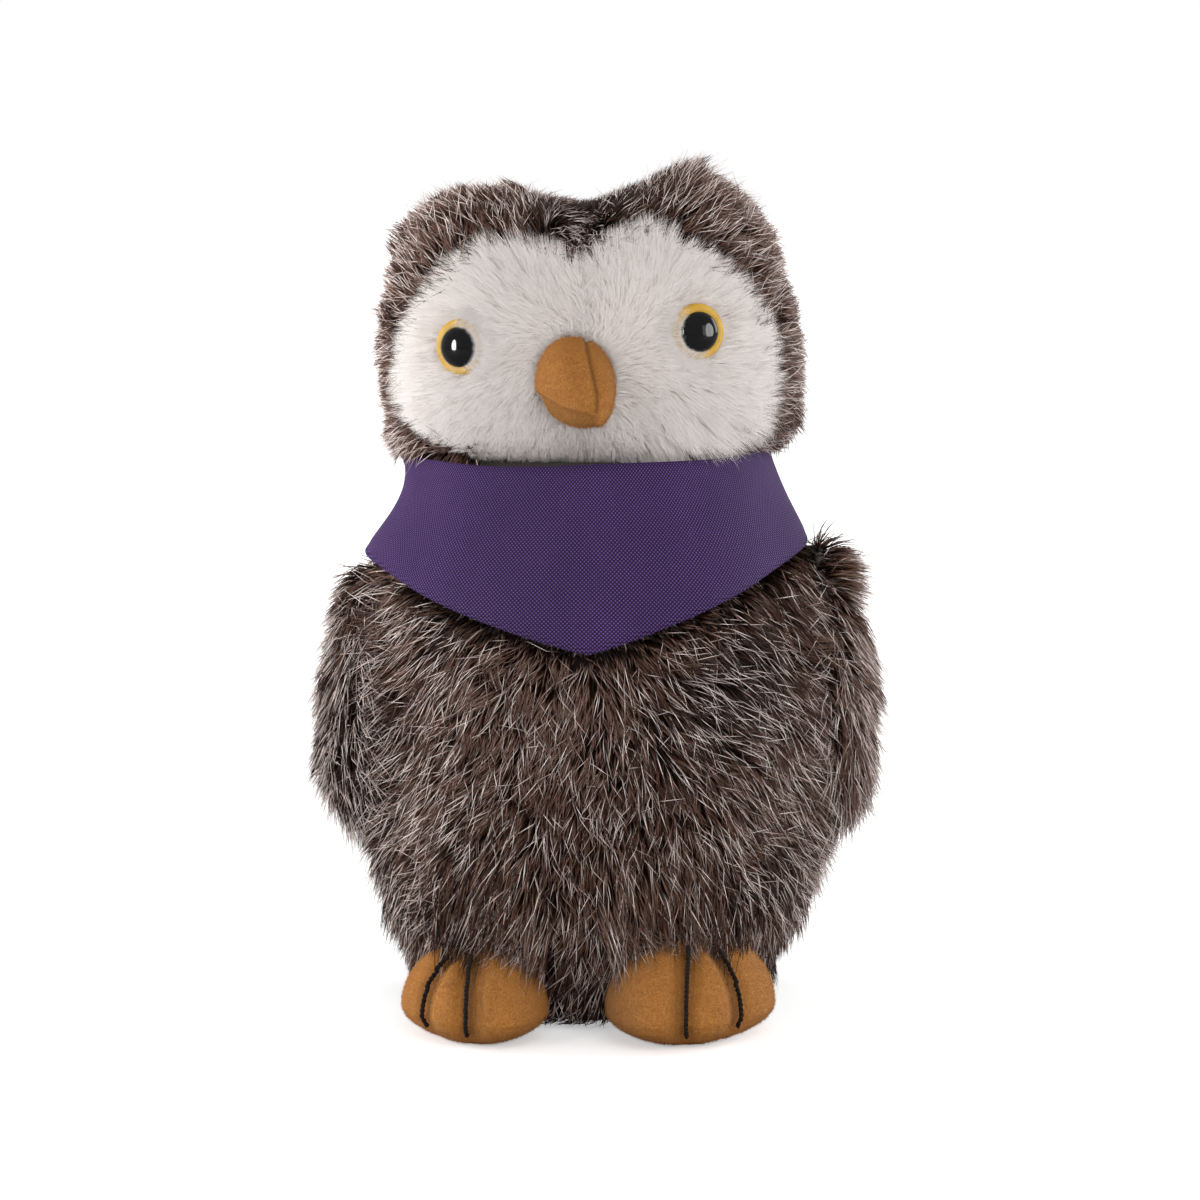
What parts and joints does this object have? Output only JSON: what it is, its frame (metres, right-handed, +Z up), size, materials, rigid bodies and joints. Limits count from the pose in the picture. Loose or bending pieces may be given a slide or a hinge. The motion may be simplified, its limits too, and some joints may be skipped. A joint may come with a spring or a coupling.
{
  "type": "plush owl",
  "caption": "Stuffed plush owl with amber-ringed safety eyes, a stuffed velour beak and feet, hinged wings and a knitted bandana tied round the neck.",
  "frame": {"origin": "on the floor, under the middle of the base panel", "axes": "+Z up, the owl faces -Y, and +X is the owl's own left"},
  "size_m": [0.122, 0.1175, 0.1773],
  "materials": {
    "brown_plush": "long brown pile with silver tips",
    "white_plush": "short dense white pile",
    "wing_lining": "short brown pile",
    "base_felt": "dark brown felted cloth",
    "tan_velour": "tan velour with a very short pile",
    "purple_knit": "fine purple knit with a matte face",
    "dark_thread": "dark brown stitching thread",
    "amber_plastic": "glossy amber",
    "black_plastic": "polished black",
    "washer_plastic": "natural white",
    "stuffing": "white polyester fibre",
    "pouch_cotton": "plain unbleached cotton"
  },
  "bodies": {
    "torso": {"body_cover": "brown_plush", "base_panel": "base_felt", "body_stuffing": "stuffing", "pellet_pouch": "pouch_cotton", "foot_upper_left": "tan_velour", "foot_upper_right": "tan_velour", "foot_sole_left": "tan_velour", "foot_sole_right": "tan_velour", "foot_stuffing_left": "stuffing", "foot_stuffing_right": "stuffing", "toe_thread_left_inner": "dark_thread", "toe_thread_left_outer": "dark_thread", "toe_thread_right_inner": "dark_thread", "toe_thread_right_outer": "dark_thread"},
    "head": {"crown_cover": "brown_plush", "face_panel_left": "white_plush", "face_panel_right": "white_plush", "head_stuffing": "stuffing", "eye_ring_left": "amber_plastic", "eye_ring_right": "amber_plastic", "eye_pupil_left": "black_plastic", "eye_pupil_right": "black_plastic", "eye_washer_left": "washer_plastic", "eye_washer_right": "washer_plastic", "beak_panel_left": "tan_velour", "beak_panel_right": "tan_velour", "beak_underside": "tan_velour", "beak_stuffing": "stuffing"},
    "bandana": {"bandana": "purple_knit", "bandana_knot": "purple_knit", "bandana_tail_left": "purple_knit", "bandana_tail_right": "purple_knit"},
    "wing_left": {"wing_cover_left": "brown_plush", "wing_lining_left": "wing_lining"},
    "wing_right": {"wing_cover_right": "brown_plush", "wing_lining_right": "wing_lining"}
  },
  "joints": [
    {"name": "head_turn", "type": "hinge", "parent": "torso", "child": "head", "pos_m": [-0.0024, 0, 0.1195], "axis": [0, 0, 1], "range_deg": [-15, 15], "stiffness_Nm_per_rad": 0.02},
    {"name": "wing_lift_left", "type": "hinge", "parent": "torso", "child": "wing_left", "pos_m": [0.04458, 0.002, 0.0963], "axis": [0, -1, 0], "range_deg": [0, 70]},
    {"name": "wing_lift_right", "type": "hinge", "parent": "torso", "child": "wing_right", "pos_m": [-0.04798, 0.002, 0.0963], "axis": [0, 1, 0], "range_deg": [0, 70]},
    {"name": "bandana_turn", "type": "hinge", "parent": "torso", "child": "bandana", "pos_m": [-0.0024, 0, 0.11185], "axis": [0, 0, 1], "range_deg": [-12, 12]}
  ]
}
